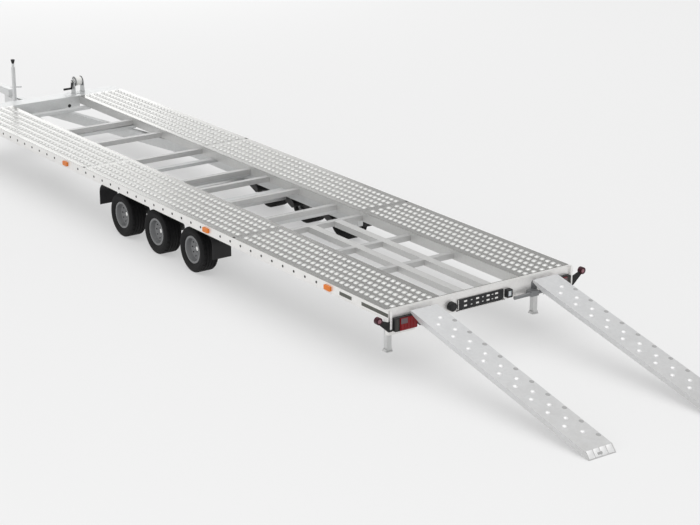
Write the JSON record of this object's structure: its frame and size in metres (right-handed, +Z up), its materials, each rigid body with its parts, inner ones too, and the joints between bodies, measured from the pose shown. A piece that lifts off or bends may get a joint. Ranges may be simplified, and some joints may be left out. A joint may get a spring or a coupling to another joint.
{
  "type": "tri-axle car carrier trailer",
  "caption": "Long low platform trailer with two perforated wheel tracks, wheels set close together under the deck, and hooked loading ramps lowered to the ground.",
  "frame": {"origin": "on the ground, below the middle of the whole trailer, ramps and coupling included", "axes": "+X forward to the coupling, +Y to the trailer's left side, +Z up"},
  "size_m": [12.5132, 2.398, 1.03],
  "materials": {
    "galvanised": "galvanised, satin",
    "aluminium": "mill finish",
    "tyre": "matt rubber",
    "rim_paint": "silver-grey paint",
    "black_plastic": "matt",
    "black_rubber": "matt",
    "red_lens": "clear gloss",
    "amber_lens": "clear gloss",
    "clear_lens": "clear gloss",
    "strap": "woven strap on a steel drum"
  },
  "bodies": {
    "chassis": {"axle_tubes": "galvanised", "bolsters": "galvanised", "corner_markers": "red_lens", "coupling_bellows": "black_rubber", "coupling_head": "galvanised", "coupling_housing": "galvanised", "cross_members": "galvanised", "deck_track_left": "aluminium", "deck_track_right": "aluminium", "drawbar_left": "galvanised", "drawbar_right": "galvanised", "front_crossmember": "galvanised", "handbrake_lever": "galvanised", "hook_tubes": "galvanised", "inner_rail_left": "galvanised", "inner_rail_right": "galvanised", "jockey_knob": "black_plastic", "jockey_tube": "galvanised", "leg_sleeves": "galvanised", "marker_arms": "black_rubber", "mudguard_left": "black_plastic", "mudguard_right": "black_plastic", "outriggers_left": "galvanised", "outriggers_right": "galvanised", "plate_holder": "black_plastic", "plate_lamp_lens": "clear_lens", "rear_crossmember": "galvanised", "rear_lamp_housings": "black_plastic", "rear_lamp_lenses": "red_lens", "side_markers": "amber_lens", "side_rail_left": "aluminium", "side_rail_right": "aluminium", "small_rear_lamps": "black_plastic", "stringers": "galvanised", "swing_arms_left": "galvanised", "swing_arms_right": "galvanised", "winch_crank": "black_plastic", "winch_drum": "strap", "winch_frame": "galvanised"},
    "wheel_1_left": {"wheel_1_left_rim": "rim_paint", "wheel_1_left_tyre": "tyre"},
    "wheel_1_right": {"wheel_1_right_rim": "rim_paint", "wheel_1_right_tyre": "tyre"},
    "wheel_2_left": {"wheel_2_left_rim": "rim_paint", "wheel_2_left_tyre": "tyre"},
    "wheel_2_right": {"wheel_2_right_rim": "rim_paint", "wheel_2_right_tyre": "tyre"},
    "wheel_3_left": {"wheel_3_left_rim": "rim_paint", "wheel_3_left_tyre": "tyre"},
    "wheel_3_right": {"wheel_3_right_rim": "rim_paint", "wheel_3_right_tyre": "tyre"},
    "ramp_left": {"ramp_left": "aluminium"},
    "leg_left": {"leg_left": "galvanised"},
    "ramp_right": {"ramp_right": "aluminium"},
    "leg_right": {"leg_right": "galvanised"},
    "jockey_inner": {"jockey_inner_tube": "galvanised"},
    "jockey_fork": {"jockey_fork": "galvanised"},
    "jockey_roller": {"jockey_roller": "tyre"}
  },
  "joints": [
    {"name": "wheel_1_left_spin", "type": "hinge", "parent": "chassis", "child": "wheel_1_left", "pos_m": [0.91364, 0.9205, 0.2345], "axis": [0, 1, 0], "continuous": true},
    {"name": "wheel_1_right_spin", "type": "hinge", "parent": "chassis", "child": "wheel_1_right", "pos_m": [0.91364, -0.9205, 0.2345], "axis": [0, 1, 0], "continuous": true},
    {"name": "wheel_2_left_spin", "type": "hinge", "parent": "chassis", "child": "wheel_2_left", "pos_m": [0.19464, 0.9205, 0.2345], "axis": [0, 1, 0], "continuous": true},
    {"name": "wheel_2_right_spin", "type": "hinge", "parent": "chassis", "child": "wheel_2_right", "pos_m": [0.19464, -0.9205, 0.2345], "axis": [0, 1, 0], "continuous": true},
    {"name": "wheel_3_left_spin", "type": "hinge", "parent": "chassis", "child": "wheel_3_left", "pos_m": [-0.52436, 0.9205, 0.2345], "axis": [0, 1, 0], "continuous": true},
    {"name": "wheel_3_right_spin", "type": "hinge", "parent": "chassis", "child": "wheel_3_right", "pos_m": [-0.52436, -0.9205, 0.2345], "axis": [0, 1, 0], "continuous": true},
    {"name": "ramp_left_lift", "type": "hinge", "parent": "chassis", "child": "ramp_left", "pos_m": [-3.95336, 0.695, 0.445], "axis": [0, 1, 0], "range_deg": [0, 15]},
    {"name": "leg_left_drop", "type": "slide", "parent": "chassis", "child": "leg_left", "axis": [0, 0, 1], "range_m": [-0.12, 0.03]},
    {"name": "ramp_right_lift", "type": "hinge", "parent": "chassis", "child": "ramp_right", "pos_m": [-3.95336, -0.695, 0.445], "axis": [0, 1, 0], "range_deg": [0, 15]},
    {"name": "leg_right_drop", "type": "slide", "parent": "chassis", "child": "leg_right", "axis": [0, 0, 1], "range_m": [-0.12, 0.03]},
    {"name": "jockey_height", "type": "slide", "parent": "chassis", "child": "jockey_inner", "axis": [0, 0, 1], "range_m": [-0.1, 0.09]},
    {"name": "jockey_swivel", "type": "hinge", "parent": "jockey_inner", "child": "jockey_fork", "pos_m": [5.13664, 0.16004, 0.23], "axis": [0, 0, 1], "continuous": true},
    {"name": "jockey_roll", "type": "hinge", "parent": "jockey_fork", "child": "jockey_roller", "pos_m": [5.09164, 0.16004, 0.1], "axis": [0, 1, 0], "continuous": true}
  ]
}
